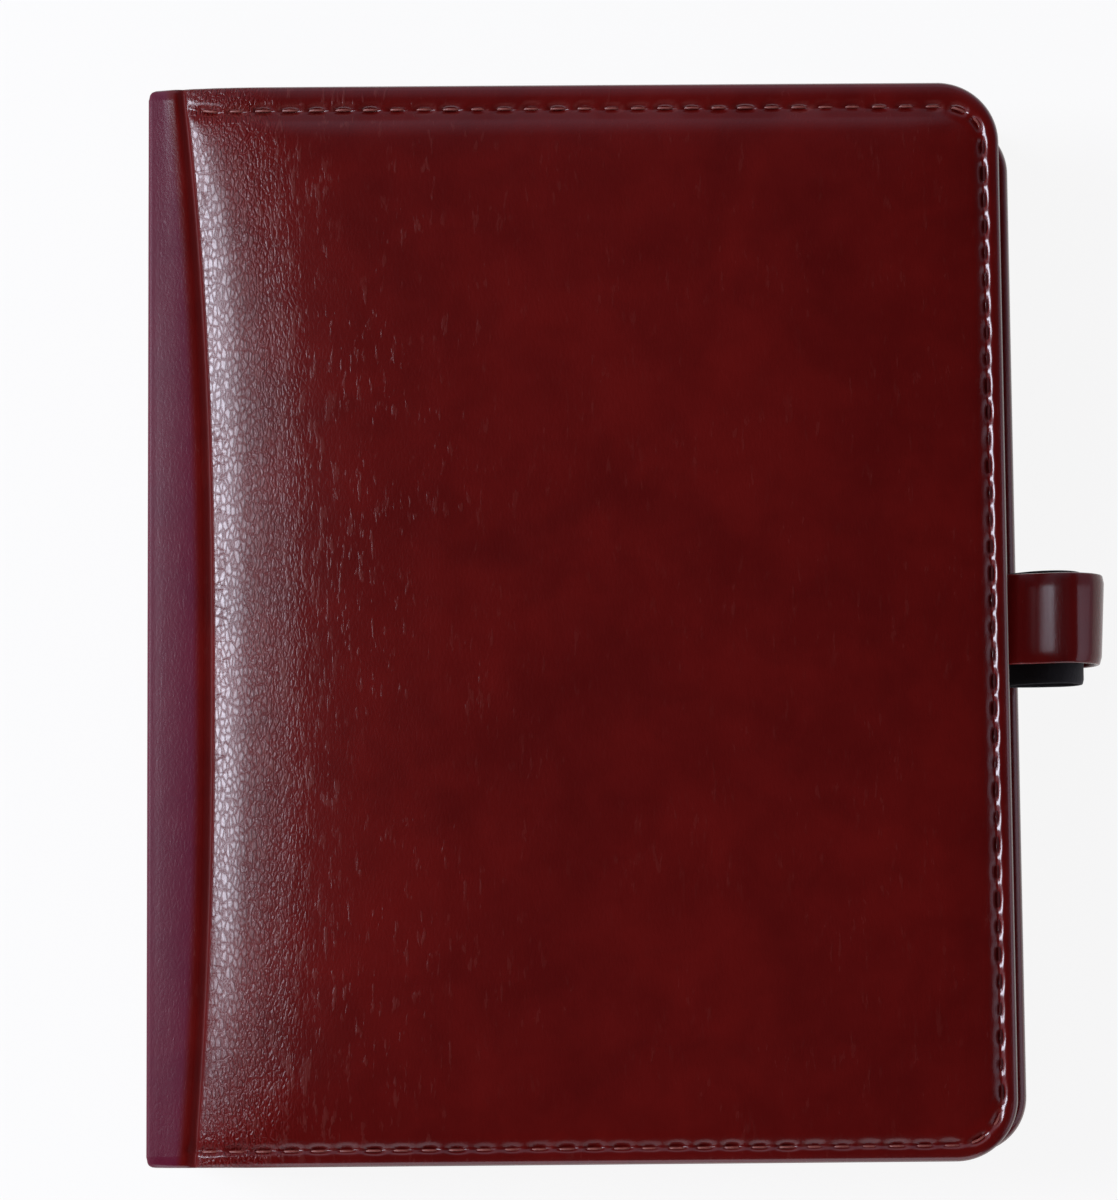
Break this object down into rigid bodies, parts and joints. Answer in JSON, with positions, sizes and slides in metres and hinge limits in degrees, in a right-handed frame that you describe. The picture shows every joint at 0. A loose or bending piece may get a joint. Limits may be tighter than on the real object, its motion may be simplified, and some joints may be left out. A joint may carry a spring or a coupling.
{
  "type": "pocket planner",
  "caption": "Pocket ring planner in a padded, stitched burgundy leather cover with a pen loop; covers fold open, rings part, and punched sheets turn with the covers.",
  "frame": {"origin": "centre of the bounding box's underside, on the back cover's flat face", "axes": "+X from the spine to the fore edge, +Y from tail to head, +Z from back cover to front cover"},
  "size_m": [0.1258, 0.14, 0.0268],
  "materials": {
    "cover_leather": "glossy padded",
    "loop_leather": "glossy",
    "lining": "satin",
    "foam": "matt",
    "board": "matt",
    "elastic": "matt ribbed",
    "metal": "polished",
    "paper": "uncoated",
    "divider": "satin",
    "flyleaf": "frosted"
  },
  "bodies": {
    "back_cover": {"back_skin": "cover_leather", "back_foam": "foam", "back_board": "board", "back_lining": "lining", "back_pocket": "lining", "pen_loop_band": "loop_leather", "pen_loop_elastic": "elastic"},
    "spine": {"spine_skin": "cover_leather", "spine_board": "board", "spine_lining": "lining", "ring_housing": "metal", "head_rivet": "metal", "tail_rivet": "metal"},
    "front_cover": {"front_skin": "cover_leather", "front_foam": "foam", "front_board": "board", "front_lining": "lining", "front_pocket": "lining", "card_slot_1": "lining", "card_slot_2": "lining", "card_slot_3": "lining"},
    "upper_rings": {"upper_rail": "metal", "upper_ring_1": "metal", "upper_ring_2": "metal", "upper_ring_3": "metal", "upper_ring_4": "metal", "upper_ring_5": "metal", "upper_ring_6": "metal"},
    "lower_rings": {"lower_rail": "metal", "lower_ring_1": "metal", "lower_ring_2": "metal", "lower_ring_3": "metal", "lower_ring_4": "metal", "lower_ring_5": "metal", "lower_ring_6": "metal"},
    "head_lever": {"head_lever": "metal"},
    "tail_lever": {"tail_lever": "metal"},
    "upper_pages": {"flyleaf_front": "flyleaf", "pages_a": "paper", "divider_front": "divider", "pages_b": "paper"},
    "lower_pages": {"pages_c": "paper", "divider_back": "divider", "pages_d": "paper", "flyleaf_back": "flyleaf"}
  },
  "joints": [
    {"name": "spine_fold", "type": "hinge", "parent": "back_cover", "child": "spine", "pos_m": [-0.06245, 0, 0.004], "axis": [0, -1, 0], "range_deg": [0, 90]},
    {"name": "front_fold", "type": "hinge", "parent": "spine", "child": "front_cover", "pos_m": [-0.06245, 0, 0.02277], "axis": [0, -1, 0], "range_deg": [0, 90]},
    {"name": "upper_pages_turn", "type": "hinge", "parent": "spine", "child": "upper_pages", "pos_m": [-0.05025, 0, 0.01338], "axis": [0, -1, 0], "range_deg": [0, 93.7]},
    {"name": "lower_pages_turn", "type": "hinge", "parent": "spine", "child": "lower_pages", "pos_m": [-0.05025, 0, 0.01338], "axis": [0, 1, 0], "range_deg": [0, 93.7]},
    {"name": "ring_open", "type": "hinge", "parent": "spine", "child": "upper_rings", "pos_m": [-0.05955, 0, 0.01763], "axis": [0, -1, 0], "range_deg": [0, 7]},
    {"name": "lower_ring_swing", "type": "hinge", "parent": "spine", "child": "lower_rings", "pos_m": [-0.05955, 0, 0.00913], "axis": [0, 1, 0], "range_deg": [0, 7]},
    {"name": "head_lever_swing", "type": "hinge", "parent": "spine", "child": "head_lever", "pos_m": [-0.05925, 0.0628, 0.01338], "axis": [0, 0, 1], "range_deg": [0, 14]},
    {"name": "tail_lever_swing", "type": "hinge", "parent": "spine", "child": "tail_lever", "pos_m": [-0.05925, -0.0628, 0.01338], "axis": [0, 0, -1], "range_deg": [0, 14]}
  ],
  "couplings": [
    {"joint": "upper_pages_turn", "follows": "front_fold", "ratio": 1.03},
    {"joint": "lower_pages_turn", "follows": "spine_fold", "ratio": 1.03},
    {"joint": "lower_ring_swing", "follows": "ring_open", "ratio": 1},
    {"joint": "head_lever_swing", "follows": "ring_open", "ratio": 2},
    {"joint": "tail_lever_swing", "follows": "ring_open", "ratio": 2}
  ]
}
